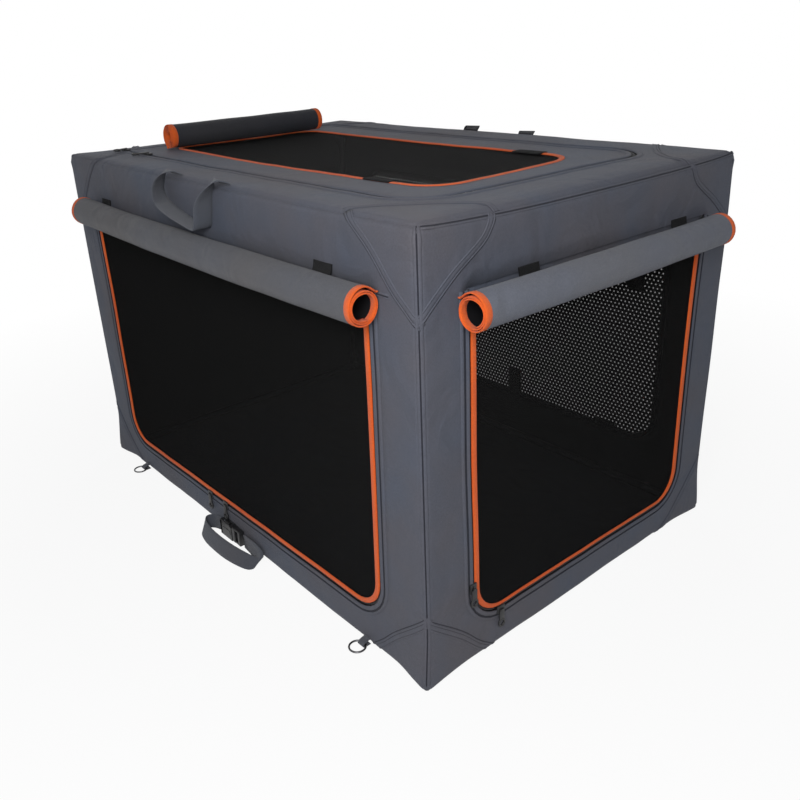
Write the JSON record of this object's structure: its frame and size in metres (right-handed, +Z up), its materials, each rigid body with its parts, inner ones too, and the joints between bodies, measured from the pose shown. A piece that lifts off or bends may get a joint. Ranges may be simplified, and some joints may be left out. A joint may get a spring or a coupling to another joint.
{
  "type": "soft folding dog crate",
  "caption": "Soft-sided folding dog crate: mesh doors and roof window with rolled-up covers on a folding steel tube frame.",
  "frame": {"origin": "on the floor, under the middle of the set up crate", "axes": "+X along the long side, to the right seen from the front door; the front door faces -Y; +Z up"},
  "size_m": [0.9579, 0.7019, 0.6299],
  "materials": {
    "grey_polyester": "matt woven polyester, slate grey",
    "cover_polyester": "matt woven polyester, grey",
    "black_mesh": "black open mesh",
    "orange_binding": "orange grosgrain binding",
    "zipper_black": "black coil zipper and coated sliders",
    "coated_steel": "dark powder-coated steel tube",
    "black_plastic": "black moulded plastic",
    "grey_webbing": "grey ribbed webbing",
    "ring_steel": "plain steel wire"
  },
  "bodies": {
    "base": {"front_bottom_rail": "coated_steel", "back_bottom_rail": "coated_steel", "left_bottom_rail": "coated_steel", "right_bottom_rail": "coated_steel", "front_left_bottom_bracket": "black_plastic", "front_right_bottom_bracket": "black_plastic", "back_left_bottom_bracket": "black_plastic", "back_right_bottom_bracket": "black_plastic", "floor_panel": "grey_polyester", "front_wall": "grey_polyester", "back_wall": "grey_polyester", "left_wall": "grey_polyester", "right_wall": "grey_polyester", "back_window_mesh": "black_mesh", "back_window_binding": "orange_binding", "front_door_zipper": "zipper_black", "right_door_zipper": "zipper_black", "storage_strap": "grey_webbing", "buckle_socket": "black_plastic"},
    "lower_left_posts": {"front_left_lower_post": "coated_steel", "back_left_lower_post": "coated_steel"},
    "upper_left_posts": {"front_left_upper_post": "coated_steel", "back_left_upper_post": "coated_steel"},
    "roof_frame": {"front_top_rail": "coated_steel", "back_top_rail": "coated_steel", "left_top_rail": "coated_steel", "right_top_rail": "coated_steel", "front_left_top_bracket": "black_plastic", "front_right_top_bracket": "black_plastic", "back_left_top_bracket": "black_plastic", "back_right_top_bracket": "black_plastic", "roof_border": "grey_polyester", "roof_door_zipper": "zipper_black"},
    "lower_right_posts": {"front_right_lower_post": "coated_steel", "back_right_lower_post": "coated_steel"},
    "upper_right_posts": {"front_right_upper_post": "coated_steel", "back_right_upper_post": "coated_steel"},
    "front_door": {"front_door_mesh": "black_mesh", "front_door_binding": "orange_binding"},
    "right_door": {"right_door_mesh": "black_mesh", "right_door_binding": "orange_binding"},
    "roof_door": {"roof_door_panel": "grey_polyester", "roof_window_mesh": "black_mesh", "roof_window_binding": "orange_binding"},
    "front_cover": {"front_cover_roll": "cover_polyester"},
    "right_cover": {"right_cover_roll": "cover_polyester"},
    "roof_cover": {"roof_cover_roll": "cover_polyester"},
    "back_cover": {"back_cover_roll": "cover_polyester"},
    "front_handle_band": {"front_handle": "grey_webbing"},
    "back_handle_band": {"back_handle": "grey_webbing"},
    "front_slider_left": {"front_zip_slider_left": "zipper_black"},
    "front_slider_right": {"front_zip_slider_right": "zipper_black"},
    "right_slider_foot": {"right_zip_slider_foot": "zipper_black"},
    "right_slider_side": {"right_zip_slider_side": "zipper_black"},
    "roof_slider_left": {"roof_zip_slider_left": "zipper_black"},
    "roof_slider_right": {"roof_zip_slider_right": "zipper_black"},
    "buckle_plug_body": {"buckle_plug": "black_plastic"},
    "left_ring": {"stake_ring_left": "ring_steel"},
    "right_ring": {"stake_ring_right": "ring_steel"}
  },
  "joints": [
    {"name": "frame_fold", "type": "hinge", "parent": "base", "child": "lower_left_posts", "pos_m": [-0.439, 0, 0.0433], "axis": [0, -1, 0], "range_deg": [-90, 0], "deforming": ["front_wall", "back_wall", "left_wall", "right_wall", "back_window_mesh", "back_window_binding", "front_door_zipper", "right_door_zipper", "front_door_mesh", "front_door_binding", "right_door_mesh", "right_door_binding", "front_cover_roll", "right_cover_roll", "back_cover_roll"]},
    {"name": "left_knuckle_fold", "type": "hinge", "parent": "lower_left_posts", "child": "upper_left_posts", "pos_m": [-0.4465, 0, 0.2935], "axis": [0, -1, 0], "range_deg": [0, 180]},
    {"name": "roof_frame_level", "type": "hinge", "parent": "upper_left_posts", "child": "roof_frame", "pos_m": [-0.439, 0, 0.5437], "axis": [0, -1, 0], "range_deg": [-90, 0]},
    {"name": "right_post_fold", "type": "hinge", "parent": "base", "child": "lower_right_posts", "pos_m": [0.439, 0, 0.0433], "axis": [0, -1, 0], "range_deg": [0, 90]},
    {"name": "right_knuckle_fold", "type": "hinge", "parent": "lower_right_posts", "child": "upper_right_posts", "pos_m": [0.4465, 0, 0.2935], "axis": [0, -1, 0], "range_deg": [-180, 0]},
    {"name": "front_door_swing", "type": "hinge", "parent": "roof_frame", "child": "front_door", "pos_m": [0, -0.305, 0.52], "axis": [-1, 0, 0], "range_deg": [0, 70], "deforming": ["front_handle"]},
    {"name": "right_door_swing", "type": "hinge", "parent": "roof_frame", "child": "right_door", "pos_m": [0.457, 0, 0.52], "axis": [0, -1, 0], "range_deg": [0, 70]},
    {"name": "roof_door_swing", "type": "hinge", "parent": "roof_frame", "child": "roof_door", "pos_m": [-0.4, 0, 0.586], "axis": [0, -1, 0], "range_deg": [0, 100]},
    {"name": "front_cover_unroll", "type": "slide", "parent": "front_door", "child": "front_cover", "axis": [0, 0, -1], "range_m": [0, 0.4]},
    {"name": "right_cover_unroll", "type": "slide", "parent": "right_door", "child": "right_cover", "axis": [0, 0, -1], "range_m": [0, 0.35]},
    {"name": "roof_cover_unroll", "type": "slide", "parent": "roof_door", "child": "roof_cover", "axis": [1, 0, 0], "range_m": [0, 0.58]},
    {"name": "back_cover_unroll", "type": "slide", "parent": "roof_frame", "child": "back_cover", "axis": [0, 0, -1], "range_m": [0, 0.4]},
    {"name": "front_handle_swing", "type": "hinge", "parent": "roof_frame", "child": "front_handle_band", "pos_m": [0.004, -0.305, 0.5835], "axis": [-1, 0, 0], "range_deg": [0, 85]},
    {"name": "back_handle_swing", "type": "hinge", "parent": "roof_frame", "child": "back_handle_band", "pos_m": [0.012, 0.305, 0.5835], "axis": [1, 0, 0], "range_deg": [0, 85]},
    {"name": "front_slider_left_zip", "type": "slide", "parent": "base", "child": "front_slider_left", "axis": [-1, 0, 0], "range_m": [0, 0.24]},
    {"name": "front_slider_right_zip", "type": "slide", "parent": "base", "child": "front_slider_right", "axis": [1, 0, 0], "range_m": [0, 0.33]},
    {"name": "right_slider_foot_zip", "type": "slide", "parent": "base", "child": "right_slider_foot", "axis": [0, 1, 0], "range_m": [0, 0.34]},
    {"name": "right_slider_side_zip", "type": "slide", "parent": "base", "child": "right_slider_side", "axis": [0, 0, 1], "range_m": [0, 0.35]},
    {"name": "roof_slider_left_zip", "type": "slide", "parent": "roof_frame", "child": "roof_slider_left", "axis": [1, 0, 0], "range_m": [0, 0.06]},
    {"name": "roof_slider_right_zip", "type": "slide", "parent": "roof_frame", "child": "roof_slider_right", "axis": [1, 0, 0], "range_m": [0, 0.59]},
    {"name": "buckle_release", "type": "slide", "parent": "base", "child": "buckle_plug_body", "axis": [1, 0, 0], "range_m": [0, 0.025]},
    {"name": "left_ring_swing", "type": "hinge", "parent": "base", "child": "left_ring", "pos_m": [-0.336, -0.311, 0.0035], "axis": [-1, 0, 0], "range_deg": [0, 90]},
    {"name": "right_ring_swing", "type": "hinge", "parent": "base", "child": "right_ring", "pos_m": [0.336, -0.311, 0.0035], "axis": [-1, 0, 0], "range_deg": [0, 90]}
  ],
  "couplings": [
    {"joint": "left_knuckle_fold", "follows": "frame_fold", "ratio": -2},
    {"joint": "roof_frame_level", "follows": "frame_fold", "ratio": 1},
    {"joint": "right_post_fold", "follows": "frame_fold", "ratio": -1},
    {"joint": "right_knuckle_fold", "follows": "frame_fold", "ratio": 2}
  ]
}
